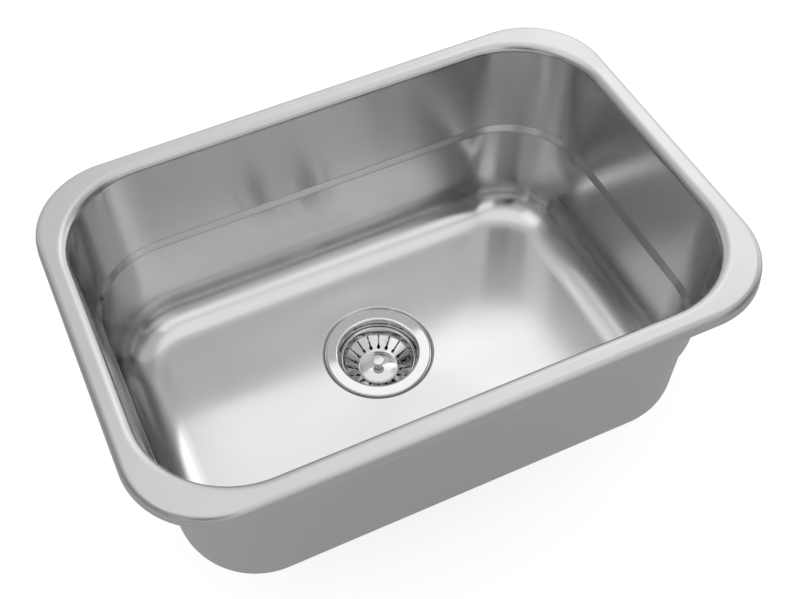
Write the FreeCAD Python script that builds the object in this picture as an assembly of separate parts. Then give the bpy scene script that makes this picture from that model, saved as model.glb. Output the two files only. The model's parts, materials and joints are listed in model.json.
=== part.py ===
import FreeCAD, Part

import math
import os

# A pressed stainless steel kitchen sink with one deep bowl, its basket strainer and the tailpiece below it.
# Millimetres. The origin is the middle of the rim on its top face, +X runs along the sink, +Y towards the wall
# behind it and +Z up.

# ---- rim
RIM_LENGTH = 600.0           # over the turned-down lip
RIM_WIDTH = 417.0
RIM_CORNER_R = 83.0
LIP_HEIGHT = 12.0
LIP_BEND_R = 6.0
LIP_FLARE = 0.8              # the lip's lower edge turns out by this much
LIP_FLARE_HEIGHT = 1.8
SHEET = 1.2                  # thickness of the steel

# ---- bowl
RIM_FLANGE = 23.6            # from the rim's outside to the wall's line, carried up to the rim's top
BOWL_CORNER_R = 90.4
BOWL_EDGE_R = 9.0            # bend from the rim into the wall
WALL_DRAFT = 2.5             # degrees, above the ledge
LEDGE_DEPTH = 107.0
LEDGE_HEIGHT = 6.7
LEDGE_INSET = 4.0
LEDGE_BEND_R = 2.0
LOWER_DRAFT = 1.0            # degrees, below the ledge
FLOOR_DEPTH = 230.0          # to the floor's edge
FLOOR_BEND_R = 42.0
FLOOR_FALL = 2.0             # from the floor's edge to the drain

# ---- drain opening in the floor
DRAIN_Y = 32.5               # the drain sits behind the middle
DRAIN_HOLE_R = 45.0
RECESS_R = 61.0
RECESS_DEPTH = 3.0
RECESS_SLOPE = 2.5           # the recess wall leans in by this much
RECESS_BEND_R = 1.5
RECESS_LAND = 5.0            # flat floor round the recess

# ---- strainer body
GASKET = 1.0                 # thickness of the soft ring under the flange
FLANGE_R = 57.15
FLANGE = 1.8                 # thickness of the flange
FLANGE_EDGE_R = 1.2
FLANGE_HOLD_OUT = 3.5        # bend from the flange down into the cup
MOUTH_R = 43.0
CUP_WALL = 1.6
MOUTH_LEAN = 0.6             # the mouth narrows by this much down to the ledge
SEAT_DEPTH = 12.35           # from the flange's top to the ledge that carries the basket
SEAT_SLOPE = 1.4
CUP_R = 40.4                 # inside, below the ledge
CUP_DEPTH = 28.0             # where the cup starts to close
DISH_DEPTH = 42.0            # from the flange's top to the stopper's seat
STOPPER_SEAT_R = 29.0
OUTLET_R = 20.0
OUTLET_STEP = 1.0            # the outlet narrows by this much, which carries the post socket
OUTLET_STEP_DEPTH = 52.0
OUTLET_DEPTH = 62.0
OUTLET_THREAD_R = 23.8

# ---- clamping stack under the floor
FIT = 0.3                    # gap between a round piece and the one that it slips over
WASHER = 3.0
WASHER_R = 54.0
FRICTION_RING = 0.8
LOCKNUT_HEIGHT = 13.0
LOCKNUT_R = 51.0
LOCKNUT_LUGS = 8
LUG_REACH = 5.0
LUG_WIDTH = 11.0

# ---- basket
BASKET_STEEL = 0.8
BASKET_RIM_R = 41.0
BASKET_RIM_BEAD = 1.1        # radius of the rolled bead
BASKET_TOP_R = 39.0          # inside, just below the rim
COLLAR_HEIGHT = 8.6          # of the upright wall under the rim
COLLAR_LEAN = 1.2            # the collar narrows by this much down to the cone
COLLAR_BEND_R = 3.0
BASKET_FLOOR_R = 21.6        # where the slotted cone meets the floor
BASKET_DEPTH = 29.5          # from the flange's top to the basket's floor
BASKET_BEND_R = 2.0
SLOTS = 18
SLOT_TURN = 85.0             # angle of the first slot from +X, in degrees
SLOT_EYE_AT = 25.0           # radius of the circle that the slots' round ends stand on
SLOT_EYE_R = 1.6
SLOT_TIP_AT = 36.3
SLOT_TIP_WIDTH = 1.1

# ---- knob and its base
BASE_R = 20.3
BASE_RISE = 2.6
BASE_EDGE = 0.6              # height of the dome's upright edge
BASE_LAND_R = 4.6            # flat spot that the knob stands on
KNOB_HEIGHT = 11.2
KNOB_R = 6.8
KNOB_EDGE = 1.7              # height of the head's upright edge
KNOB_HEAD = 5.2              # height of the head with its sloping underside
KNOB_NECK_R = 3.4
KNOB_FOOT_R = 4.1

# ---- post, stopper and clip below the basket
STUD_R = 2.0
STUD_REACH = 6.0             # into the knob
SHOULDER_R = 5.0
SPIGOT_R = 3.0
POST_FIT = 0.12              # gap between the post and what is threaded on it
PLATE = 1.2
PLATE_R = 21.0
SEAL = 3.0
SEAL_R = 26.0
SEAL_GAP = 0.3               # between the seal and its seat
RETAINER = 1.0
RETAINER_R = 8.0
POST_R = 2.4
POST_END_DEPTH = 60.0        # from the flange's top
CLIP_LENGTH = 8.0
CLIP_R = 4.1                 # at the clip's widest
CLIP_STEEL = 0.5
CLIP_SLITS = 4
CLIP_SLIT_WIDTH = 0.9
SOCKET_BORE_R = 4.4
SOCKET_RING = 2.2
SOCKET_HEIGHT = 4.5
SOCKET_RIM = 1.6
SOCKET_ARMS = 4
SOCKET_ARM_WIDTH = 2.6

# ---- tailpiece and its nut
TUBE_R = 19.05
TUBE_WALL = 1.2
TUBE_LENGTH = 100.0          # below its flange
TUBE_FLANGE_R = 22.9
TUBE_ROOT_R = 1.8            # bend under the flange
TAIL_WASHER = 2.0
TAIL_WASHER_LIP = 1.6        # the washer's lip drops this far into the tube
TAIL_WASHER_WALL = 1.2       # thickness of that lip
NUT_FLATS = 55.0
NUT_HEIGHT = 20.0
NUT_LIP = 1.5
NUT_CHAMFER = 2.0

# ---- damping pads
PAD = 2.0
PAD_LENGTH = 130.0
PAD_WIDTH = 190.0
PAD_CORNER_R = 12.0
PAD_GAP = 34.0               # between the pad and the drain opening's edge

ORIGIN = FreeCAD.Vector(0, 0, 0)
UP = FreeCAD.Vector(0, 0, 1)

# ---- sizes that follow
wall_top_x = RIM_LENGTH / 2 - RIM_FLANGE
wall_top_y = RIM_WIDTH / 2 - RIM_FLANGE
ledge_top_r = BOWL_CORNER_R - LEDGE_DEPTH * math.tan(math.radians(WALL_DRAFT))
ledge_foot_r = ledge_top_r - LEDGE_INSET
ledge_foot_depth = LEDGE_DEPTH + LEDGE_HEIGHT
wall_foot_r = ledge_foot_r - (FLOOR_DEPTH - ledge_foot_depth) * math.tan(math.radians(LOWER_DRAFT))
floor_corner_r = wall_foot_r - FLOOR_BEND_R / math.tan(math.radians((90 + LOWER_DRAFT) / 2)) - 1.0
floor_x = wall_top_x - BOWL_CORNER_R + floor_corner_r
floor_y = wall_top_y - BOWL_CORNER_R + floor_corner_r

drain_floor_z = -(FLOOR_DEPTH + FLOOR_FALL)
recess_z = drain_floor_z - RECESS_DEPTH
underside_z = recess_z - SHEET
flange_z = recess_z + GASKET + FLANGE          # top of the strainer's flange
seat_z = flange_z - DISH_DEPTH                 # the stopper's seat
step_z = flange_z - OUTLET_STEP_DEPTH
outlet_z = flange_z - OUTLET_DEPTH
thread_r = DRAIN_HOLE_R - 2 * FIT
washer_z = underside_z - WASHER
friction_z = washer_z - FRICTION_RING
locknut_z = friction_z - LOCKNUT_HEIGHT
ledge_r = MOUTH_R - MOUTH_LEAN
ledge_slope = math.atan2(SEAT_SLOPE, ledge_r - CUP_R)
bead_at = BASKET_RIM_R - BASKET_RIM_BEAD       # radius of the circle that the bead's middle runs on
ledge_under_bead_z = flange_z - SEAT_DEPTH - (ledge_r - bead_at) * math.tan(ledge_slope)
bead_z = ledge_under_bead_z + (BASKET_RIM_BEAD + FIT) / math.cos(ledge_slope)
basket_rim_z = bead_z + BASKET_RIM_BEAD        # the bead stands on the cup's sloping ledge
basket_floor_z = flange_z - BASKET_DEPTH
basket_under_z = basket_floor_z - BASKET_STEEL
base_top_z = basket_floor_z + BASE_RISE
seal_z = seat_z + SEAL_GAP
plate_z = seal_z + SEAL
shoulder_z = plate_z + PLATE
post_z = flange_z - POST_END_DEPTH
tail_washer_z = outlet_z - TAIL_WASHER
tube_flange_z = tail_washer_z - TUBE_WALL
tube_z = tube_flange_z - TUBE_LENGTH


def drain_axis(z=0.0):
    return FreeCAD.Vector(0, DRAIN_Y, z)


def bent_wire(corners):
    """Straight runs in the XZ plane joined by tangent bends. A corner is (x, z, bend radius)."""
    points = [FreeCAD.Vector(x, 0, z) for x, z, _ in corners]
    edges = []
    start = points[0]
    for before, corner, after, (_, _, bend) in zip(points, points[1:], points[2:], corners[1:]):
        if bend == 0:
            edges.append(Part.LineSegment(start, corner).toShape())
            start = corner
            continue
        back = (before - corner).normalize()
        on = (after - corner).normalize()
        half_angle = back.getAngle(on) / 2
        first = corner + back * (bend / math.tan(half_angle))
        last = corner + on * (bend / math.tan(half_angle))
        inward = (back + on).normalize()
        middle = corner + inward * (bend / math.sin(half_angle) - bend)
        if first.distanceToPoint(start) > 1e-6:
            edges.append(Part.LineSegment(start, first).toShape())
        edges.append(Part.Arc(first, middle, last).toShape())
        start = last
    if start.distanceToPoint(points[-1]) > 1e-6:
        edges.append(Part.LineSegment(start, points[-1]).toShape())
    return Part.Wire(edges)


def sheet_section(corners, thickness):
    """The face that a bent line sweeps when it is thickened to one side."""
    return bent_wire(corners).makeOffset2D(thickness, 0, True, True)


def turned(corners):
    """A solid of revolution about the drain's axis. Corners are (radius, z, bend radius), in order round it."""
    first_x = (corners[0][0] + corners[-1][0]) / 2
    first_z = (corners[0][1] + corners[-1][1]) / 2
    outline = bent_wire([(first_x, first_z, 0), *corners, (first_x, first_z, 0)])
    return turned_face(Part.Face(outline))


def turned_face(face):
    return face.revolve(ORIGIN, UP, 360).translated(drain_axis())


def disc(radius, z, height):
    return Part.makeCylinder(radius, height, drain_axis(z))


def washer(outer_r, inner_r, z, height):
    return disc(outer_r, z, height).cut(disc(inner_r, z, height))


def rounded_rectangle(half_x, half_y, corner_r, z):
    """A wire of four sides and four corner arcs, starting on the +X side."""
    edges = []
    for quarter, (sx, sy) in enumerate(((1, 1), (-1, 1), (-1, -1), (1, -1))):
        centre = FreeCAD.Vector(sx * (half_x - corner_r), sy * (half_y - corner_r), z)
        edges.append(Part.makeCircle(corner_r, centre, UP, 90 * quarter, 90 * quarter + 90))
    sides = []
    for here, following in zip(edges, edges[1:] + edges[:1]):
        sides.append(Part.makeLine(here.lastVertex().Point, following.firstVertex().Point))
    joined = []
    for corner, side in zip(edges, sides):
        joined += [corner, side]
    return Part.Wire(joined)


def slab(half_x, half_y, corner_r, z, height):
    return Part.Face(rounded_rectangle(half_x, half_y, corner_r, z)).extrude(UP * height)


def carried_round(section, half_x, half_y, corner_r):
    """Carries a section round a rounded rectangle: turned at each corner, drawn along each side.
    The section's x is measured from the corner's axis, where corner_r meets the rectangle."""
    run_x, run_y = half_x - corner_r, half_y - corner_r
    axes = [FreeCAD.Vector(sx * run_x, sy * run_y, 0) for sx, sy in ((1, 1), (-1, 1), (-1, -1), (1, -1))]
    pieces = []
    for quarter, axis in enumerate(axes):
        start = section.rotated(ORIGIN, UP, 90 * quarter).translated(axis)
        end = section.rotated(ORIGIN, UP, 90 * quarter + 90).translated(axis)
        following = axes[(quarter + 1) % 4]
        pieces.append(start.revolve(axis, UP, 90))
        pieces.append(end.extrude(following - axis))
    return pieces[0].fuse(pieces[1:])


def floor_plug(drop):
    """What lies above the pitched floor, from its edge to the recess, lowered by drop."""
    rim = rounded_rectangle(floor_x, floor_y, floor_corner_r, -FLOOR_DEPTH - drop)
    mouth_r = RECESS_R + RECESS_LAND
    mouth = []
    angles = [math.degrees(math.atan2(v.Point.y - DRAIN_Y, v.Point.x)) % 360 for v in rim.OrderedVertexes]
    for start, end in zip(angles, angles[1:] + [angles[0] + 360]):
        if end < start:
            end += 360
        mouth.append(Part.makeCircle(mouth_r, drain_axis(drain_floor_z - drop), UP, start, end))
    return Part.makeLoft([rim, Part.Wire(mouth)], True, True)


def bowl_floor():
    """The pitched floor with its recess and its hole."""
    top = floor_plug(0)
    edge = slab(floor_x, floor_y, floor_corner_r, -FLOOR_DEPTH - SHEET, SHEET)
    sheet = floor_plug(SHEET).fuse(edge).cut(top)
    mouth_r = RECESS_R + RECESS_LAND
    recess = sheet_section([
        (mouth_r, drain_floor_z, 0),
        (RECESS_R, drain_floor_z, RECESS_BEND_R),
        (RECESS_R - RECESS_SLOPE, recess_z, RECESS_BEND_R),
        (DRAIN_HOLE_R, recess_z, 0),
    ], SHEET)
    hole = disc(mouth_r, drain_floor_z - 2 * SHEET, 4 * SHEET)
    return sheet.cut(hole).fuse(turned_face(recess))


def sink_bowl():
    # the flat part of the rim starts and ends where its two bends start
    edge_reach = BOWL_EDGE_R * math.tan(math.radians((90 - WALL_DRAFT) / 2))
    wall = sheet_section([
        (BOWL_CORNER_R + edge_reach + 0.5, 0, 0),
        (BOWL_CORNER_R, 0, BOWL_EDGE_R),
        (ledge_top_r, -LEDGE_DEPTH, LEDGE_BEND_R),
        (ledge_foot_r, -ledge_foot_depth, LEDGE_BEND_R),
        (wall_foot_r, -FLOOR_DEPTH, FLOOR_BEND_R),
        (floor_corner_r, -FLOOR_DEPTH, 0),
    ], SHEET)
    walls = carried_round(wall, wall_top_x, wall_top_y, BOWL_CORNER_R)

    lip_r = RIM_CORNER_R - LIP_FLARE
    lip = sheet_section([
        (RIM_CORNER_R, -LIP_HEIGHT, 0),
        (lip_r, -LIP_HEIGHT + LIP_FLARE_HEIGHT, SHEET + 0.5),
        (lip_r, 0, LIP_BEND_R),
        (lip_r - LIP_BEND_R - 0.5, 0, 0),
    ], SHEET)
    lips = carried_round(lip, RIM_LENGTH / 2, RIM_WIDTH / 2, RIM_CORNER_R)

    rim_inset = LIP_FLARE + LIP_BEND_R + 0.5
    wall_grow = edge_reach + 0.5
    flat = slab(RIM_LENGTH / 2 - rim_inset, RIM_WIDTH / 2 - rim_inset, RIM_CORNER_R - rim_inset, -SHEET, SHEET)
    opening = slab(wall_top_x + wall_grow, wall_top_y + wall_grow, BOWL_CORNER_R + wall_grow, -SHEET, SHEET)
    return walls.fuse([lips, flat.cut(opening), bowl_floor()]).removeSplitter()


def sound_pads():
    """Two pads glued under the floor. Their faces follow the floor's pitch."""
    layer = floor_plug(SHEET + PAD).fuse(slab(floor_x, floor_y, floor_corner_r, -FLOOR_DEPTH - SHEET - PAD, PAD))
    layer = layer.cut(floor_plug(SHEET))
    middle_x = DRAIN_HOLE_R + PAD_GAP + PAD_LENGTH / 2
    height = 4 * (SHEET + PAD + FLOOR_FALL)
    outline = slab(PAD_LENGTH / 2, PAD_WIDTH / 2, PAD_CORNER_R, drain_floor_z - height / 2, height)
    pads = [layer.common(outline.translated(FreeCAD.Vector(side * middle_x, 0, 0))) for side in (-1, 1)]
    return Part.makeCompound([solid for pad in pads for solid in pad.Solids])


def strainer_body():
    """Flange, cup, dished bottom with the stopper's seat, and the threaded outlet."""
    under_flange_z = flange_z - FLANGE
    cup_foot_z = flange_z - CUP_DEPTH
    thread_foot_z = locknut_z - 1.5
    return turned([
        (FLANGE_R, under_flange_z, 0),
        (FLANGE_R, flange_z, FLANGE_EDGE_R),
        (MOUTH_R, flange_z, FLANGE_HOLD_OUT),
        (ledge_r, flange_z - SEAT_DEPTH, 0.8),
        (CUP_R, flange_z - SEAT_DEPTH - SEAT_SLOPE, 0.8),
        (CUP_R, cup_foot_z, 6.0),
        (STOPPER_SEAT_R, seat_z, 2.0),
        (OUTLET_R, seat_z, 0.6),
        (OUTLET_R, step_z, 0),
        (OUTLET_R - OUTLET_STEP, step_z, 0),
        (OUTLET_R - OUTLET_STEP, outlet_z, 0),
        (OUTLET_THREAD_R, outlet_z, 0.6),
        (OUTLET_THREAD_R, seat_z - 2 * CUP_WALL, 2.0),
        (STOPPER_SEAT_R + CUP_WALL, seat_z - 2 * CUP_WALL, 2.0),
        (thread_r, thread_foot_z, 2.0),
        (thread_r, under_flange_z, 0),
    ])


def flange_gasket():
    return washer(FLANGE_R - 0.4, DRAIN_HOLE_R, recess_z, GASKET)


def sink_washer():
    return washer(WASHER_R, thread_r + FIT, washer_z, WASHER)


def friction_ring():
    return washer(WASHER_R - 1.0, thread_r + FIT, friction_z, FRICTION_RING)


def locknut():
    """A ring nut with lugs that a spanner or a hand turns it by."""
    ring = turned([
        (thread_r + FIT, friction_z, 0.8),
        (WASHER_R - 1.0, friction_z, 0.6),
        (WASHER_R - 1.0, friction_z - 2.5, 0.6),
        (LOCKNUT_R, friction_z - 2.5, 1.0),
        (LOCKNUT_R, locknut_z, 1.0),
        (thread_r + FIT, locknut_z, 0.8),
    ])
    lug_z = locknut_z + 0.6
    lug_height = LOCKNUT_HEIGHT - 3.6
    lug = Part.makeBox(LUG_REACH + 3, LUG_WIDTH, lug_height, FreeCAD.Vector(LOCKNUT_R - 3, -LUG_WIDTH / 2, lug_z))
    lug = lug.makeFillet(1.5, [e for e in lug.Edges if is_upright(e) and e.CenterOfMass.x > LOCKNUT_R])
    lugs = [lug.rotated(ORIGIN, UP, 360 * n / LOCKNUT_LUGS).translated(drain_axis()) for n in range(LOCKNUT_LUGS)]
    return ring.fuse(lugs).removeSplitter()


def is_upright(edge):
    return edge.BoundBox.XLength + edge.BoundBox.YLength < 1e-6


def slot_cutter():
    """A keyhole: a round eye that runs out into a narrow slit, cut straight down."""
    length = SLOT_TIP_AT - SLOT_EYE_AT
    tip_r = SLOT_TIP_WIDTH / 2
    lean = math.asin((SLOT_EYE_R - tip_r) / length)
    eye_touch = FreeCAD.Vector(SLOT_EYE_AT + SLOT_EYE_R * math.sin(lean), SLOT_EYE_R * math.cos(lean), 0)
    tip_touch = FreeCAD.Vector(SLOT_TIP_AT + tip_r * math.sin(lean), tip_r * math.cos(lean), 0)
    eye_under = FreeCAD.Vector(eye_touch.x, -eye_touch.y, 0)
    tip_under = FreeCAD.Vector(tip_touch.x, -tip_touch.y, 0)
    outline = Part.Wire([
        Part.Arc(eye_touch, FreeCAD.Vector(SLOT_EYE_AT - SLOT_EYE_R, 0, 0), eye_under).toShape(),
        Part.makeLine(eye_under, tip_under),
        Part.Arc(tip_under, FreeCAD.Vector(SLOT_TIP_AT + tip_r, 0, 0), tip_touch).toShape(),
        Part.makeLine(tip_touch, eye_touch),
    ])
    cut_z = basket_under_z - 1.0
    height = basket_rim_z - basket_floor_z + BASKET_STEEL
    return Part.Face(outline).extrude(UP * height).translated(FreeCAD.Vector(0, 0, cut_z))


def basket():
    """The lift-out cup: a rolled rim, an upright collar, a cone with a ring of keyhole slots and a flat floor."""
    shell = turned_face(sheet_section([
        (bead_at, basket_rim_z, 0),
        (BASKET_TOP_R, basket_rim_z, 1.0),
        (BASKET_TOP_R - COLLAR_LEAN, basket_rim_z - COLLAR_HEIGHT, COLLAR_BEND_R),
        (BASKET_FLOOR_R, basket_floor_z, BASKET_BEND_R),
        (STUD_R + POST_FIT, basket_floor_z, 0),
    ], BASKET_STEEL))
    bead = Part.makeTorus(bead_at, BASKET_RIM_BEAD, drain_axis(bead_z), UP)
    slots = [slot_cutter().rotated(ORIGIN, UP, SLOT_TURN + 360 * n / SLOTS).translated(drain_axis())
             for n in range(SLOTS)]
    return shell.fuse(bead).cut(slots)


def knob_base():
    """A shallow dome with a flat spot for the knob. One arc runs from that spot out to the edge."""
    edge_z = basket_floor_z + BASE_EDGE
    width, rise = BASE_R - BASE_LAND_R, base_top_z - edge_z
    chord_squared = width ** 2 + rise ** 2
    short_of_edge = 0.96                       # leaves room for the small bend at the edge
    return turned([
        (BASE_R, basket_floor_z, 0),
        (BASE_R, edge_z, 0.3),
        (BASE_LAND_R + chord_squared / (2 * width), base_top_z, short_of_edge * chord_squared / (2 * rise)),
        (STUD_R + POST_FIT, base_top_z, 0),
        (STUD_R + POST_FIT, basket_floor_z, 0),
    ])


def basket_knob():
    head_z = base_top_z + KNOB_HEIGHT
    body = turned([
        (0, base_top_z, 0),
        (KNOB_FOOT_R, base_top_z, 0.5),
        (KNOB_NECK_R, head_z - KNOB_HEAD, 2.5),
        (KNOB_R, head_z - KNOB_EDGE, 0.6),
        (KNOB_R, head_z, 0.9),
        (0, head_z, 0),
    ])
    return body.cut(disc(STUD_R + POST_FIT, base_top_z, STUD_REACH + 0.5))


def basket_post():
    """Stud, shoulder, spigot for the stopper and the thin end that carries the clip."""
    retainer_z = seal_z - RETAINER
    stud = disc(STUD_R, basket_under_z, base_top_z + STUD_REACH - basket_under_z)
    shoulder = disc(SHOULDER_R, shoulder_z, basket_under_z - shoulder_z)
    spigot = disc(SPIGOT_R, retainer_z, shoulder_z - retainer_z)
    end = disc(POST_R, post_z, retainer_z - post_z)
    collar = disc(SPIGOT_R, post_z, 1.0)
    return stud.fuse([shoulder, spigot, end, collar]).removeSplitter()


def seal_plate():
    return washer(PLATE_R, SPIGOT_R + POST_FIT, plate_z, PLATE)


def stopper_seal():
    return turned([
        (SPIGOT_R + POST_FIT, plate_z, 0),
        (SEAL_R - 1.4, plate_z, 0.6),
        (SEAL_R, seal_z + 0.6, 0.5),
        (SEAL_R - 0.6, seal_z, 0.2),
        (SPIGOT_R + POST_FIT, seal_z, 0),
    ])


def seal_retainer():
    return washer(RETAINER_R, SPIGOT_R + POST_FIT, seal_z - RETAINER, RETAINER)


def post_clip():
    """A split barrel of spring steel round the post's end."""
    foot_z = post_z + 1.0
    top_z = foot_z + CLIP_LENGTH
    barrel = sheet_section([
        (POST_R + POST_FIT, foot_z, 0),
        (POST_R + POST_FIT, foot_z + 1.2, 1.0),
        (CLIP_R - CLIP_STEEL, (foot_z + top_z) / 2, 2.0),
        (POST_R + POST_FIT, top_z - 1.2, 1.0),
        (POST_R + POST_FIT, top_z, 0),
    ], -CLIP_STEEL)
    barrel = turned_face(barrel)
    slit = Part.makeBox(2 * CLIP_R, CLIP_SLIT_WIDTH, CLIP_LENGTH - 2.0,
                        FreeCAD.Vector(0, -CLIP_SLIT_WIDTH / 2, foot_z + 1.0))
    slits = [slit.rotated(ORIGIN, UP, 360 * n / CLIP_SLITS).translated(drain_axis()) for n in range(CLIP_SLITS)]
    return barrel.cut(slits)


def post_socket():
    """The cross in the outlet. Its ring takes the clip, and its rim stands on the outlet's step."""
    rim_r = OUTLET_R - FIT
    ring_r = SOCKET_BORE_R + SOCKET_RING
    rim = washer(rim_r, rim_r - SOCKET_RIM, step_z, SOCKET_HEIGHT)
    ring = disc(ring_r, step_z, SOCKET_HEIGHT)
    arm = Part.makeBox(rim_r - SOCKET_RIM / 2, SOCKET_ARM_WIDTH, SOCKET_HEIGHT,
                       FreeCAD.Vector(0, -SOCKET_ARM_WIDTH / 2, step_z))
    arms = [arm.rotated(ORIGIN, UP, 45 + 360 * n / SOCKET_ARMS).translated(drain_axis())
            for n in range(SOCKET_ARMS)]
    cross = rim.fuse([ring, *arms]).cut(disc(SOCKET_BORE_R, step_z, SOCKET_HEIGHT))
    return cross.removeSplitter()


def tailpiece_washer():
    """A flat ring with a short lip that drops into the tailpiece."""
    bore_r = TUBE_R - TUBE_WALL - FIT - TAIL_WASHER_WALL
    return turned([
        (bore_r, outlet_z, 0),
        (TUBE_FLANGE_R, outlet_z, 0.4),
        (TUBE_FLANGE_R, tail_washer_z, 0),
        (bore_r + TAIL_WASHER_WALL, tail_washer_z, 0),
        (bore_r + TAIL_WASHER_WALL, tail_washer_z - TAIL_WASHER_LIP, 0.3),
        (bore_r, tail_washer_z - TAIL_WASHER_LIP, 0.3),
    ])


def tailpiece():
    """A thin tube with its top edge turned out into a flange."""
    return turned_face(sheet_section([
        (TUBE_FLANGE_R, tail_washer_z, 0),
        (TUBE_R - TUBE_WALL, tail_washer_z, TUBE_ROOT_R + TUBE_WALL),
        (TUBE_R - TUBE_WALL, tube_z, 0),
    ], TUBE_WALL))


def coupling_nut():
    """A hexagon nut that draws the tailpiece's flange up against the outlet."""
    lip_z = tube_flange_z - NUT_LIP
    top_z = lip_z + NUT_HEIGHT
    across_corners = NUT_FLATS / math.cos(math.radians(30))
    corners = [FreeCAD.Vector(math.cos(math.radians(60 * n)), math.sin(math.radians(60 * n)), 0)
               * (across_corners / 2) for n in range(7)]
    hexagon = Part.Face(Part.makePolygon(corners)).extrude(UP * NUT_HEIGHT)
    hexagon = hexagon.translated(drain_axis(lip_z))
    turned_envelope = turned([
        (0, lip_z, 0),
        (across_corners / 2, lip_z, NUT_CHAMFER),
        (across_corners / 2, top_z, NUT_CHAMFER),
        (0, top_z, 0),
    ])
    bore = disc(OUTLET_THREAD_R + FIT, lip_z + NUT_LIP, NUT_HEIGHT)
    mouth = disc(TUBE_R + TUBE_ROOT_R + FIT, lip_z - 1, NUT_LIP + 2)
    return hexagon.common(turned_envelope).cut([bore, mouth]).removeSplitter()


NODES = {
    "sink_bowl": sink_bowl,
    "sound_pads": sound_pads,
    "flange_gasket": flange_gasket,
    "strainer_body": strainer_body,
    "sink_washer": sink_washer,
    "friction_ring": friction_ring,
    "locknut": locknut,
    "post_socket": post_socket,
    "basket": basket,
    "knob_base": knob_base,
    "basket_knob": basket_knob,
    "basket_post": basket_post,
    "seal_plate": seal_plate,
    "stopper_seal": stopper_seal,
    "seal_retainer": seal_retainer,
    "post_clip": post_clip,
    "tailpiece_washer": tailpiece_washer,
    "tailpiece": tailpiece,
    "coupling_nut": coupling_nut,
}

os.makedirs("parts", exist_ok=True)
for name, build in NODES.items():
    shape = build()
    if not shape.isValid():
        raise RuntimeError(f"{name} isn't a valid shape")
    print(f"{name}: {len(shape.Solids)} solid(s), {shape.Volume / 1000:.2f} cm3")
    shape.exportStep(f"parts/{name}.step")
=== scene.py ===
"""A pressed stainless steel kitchen sink, its basket strainer and its waste fittings, in a light tent."""

import json
import math

import bpy
from bpy.props import FloatProperty, IntProperty, PointerProperty, StringProperty
from mathutils import Matrix, Vector


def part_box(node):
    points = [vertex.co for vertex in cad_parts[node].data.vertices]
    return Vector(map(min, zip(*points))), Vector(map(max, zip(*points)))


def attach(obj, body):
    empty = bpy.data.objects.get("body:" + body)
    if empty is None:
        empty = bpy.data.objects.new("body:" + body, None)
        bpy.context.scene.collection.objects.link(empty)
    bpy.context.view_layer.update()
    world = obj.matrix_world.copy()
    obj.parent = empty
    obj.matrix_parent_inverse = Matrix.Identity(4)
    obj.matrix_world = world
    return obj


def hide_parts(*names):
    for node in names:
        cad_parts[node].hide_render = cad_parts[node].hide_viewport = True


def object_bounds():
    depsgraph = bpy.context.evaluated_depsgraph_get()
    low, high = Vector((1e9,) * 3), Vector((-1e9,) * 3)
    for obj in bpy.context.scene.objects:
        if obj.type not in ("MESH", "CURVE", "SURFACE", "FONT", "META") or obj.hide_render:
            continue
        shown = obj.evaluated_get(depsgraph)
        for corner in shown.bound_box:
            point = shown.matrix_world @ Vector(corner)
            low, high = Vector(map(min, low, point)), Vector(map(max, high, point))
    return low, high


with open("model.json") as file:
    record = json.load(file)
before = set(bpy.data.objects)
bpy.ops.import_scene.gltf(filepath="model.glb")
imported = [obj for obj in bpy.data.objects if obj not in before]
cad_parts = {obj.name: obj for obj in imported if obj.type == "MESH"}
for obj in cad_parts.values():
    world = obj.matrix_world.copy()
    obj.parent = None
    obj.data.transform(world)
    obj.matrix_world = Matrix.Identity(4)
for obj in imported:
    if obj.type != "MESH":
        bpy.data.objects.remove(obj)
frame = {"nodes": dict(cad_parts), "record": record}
CAD_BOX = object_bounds()

bl_info = {
    "name": "Pressed steel kitchen sink",
    "version": (1, 0, 0),
    "blender": (4, 5, 0),
    "location": "View3D > Sidebar > Sink",
    "description": "Builds a steel sink's sheet, its basket strainer and its waste fittings",
    "category": "Object",
}

MM = 0.001

# Lengths below are in millimetres, like those of the drawings that such parts are made from.
BEND_STEP = math.radians(7.5)        # a bend is drawn in steps of this turn
RUN_STEP = 14.0                      # and a straight run in steps of this length
EDGE_STEP = 0.8                      # the first step beside a bend, which keeps the run's shading flat
CORNER_STEPS = 24                    # steps round each corner of the bowl
SHARP = math.radians(32)             # an edge that turns by more than this stays crisp

ROUND_STEPS = 144                    # steps round a piece about the drain's axis
TOUCHING = 1e-4                      # neighbouring points of a line closer than this are one
MERGE_WITHIN = 0.001                 # and so are a finished piece's points closer than this
ZERO = 1e-6                          # a length below this is none

# The bowl's sheet. SinkSizes has its other sizes.
SHEET = 1.2                          # thickness of the steel
DRAIN_Y = 32.5                       # the drain's axis lies behind the middle
LIP_HEIGHT = 12.0
LIP_FLARE, FLARE_HEIGHT = 0.8, 1.8   # how far the lip's foot turns out, and how far above the foot
LIP_BEND, FLARE_BEND = 6.0, 1.7
LEDGE_HEIGHT, LEDGE_BEND = 6.7, 2.0
WALL_DRAFT = math.radians(2.5)       # above the ledge
LOWER_DRAFT = math.radians(1.0)      # below it
PITCH_END_R = 66.0                   # the pitched floor levels out here, just outside the recess
RECESS_DEPTH, RECESS_BEND = 3.0, 1.5
RECESS_R, RECESS_FLAT_R = 61.0, 58.5
DRAIN_HOLE_R = 45.0

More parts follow.
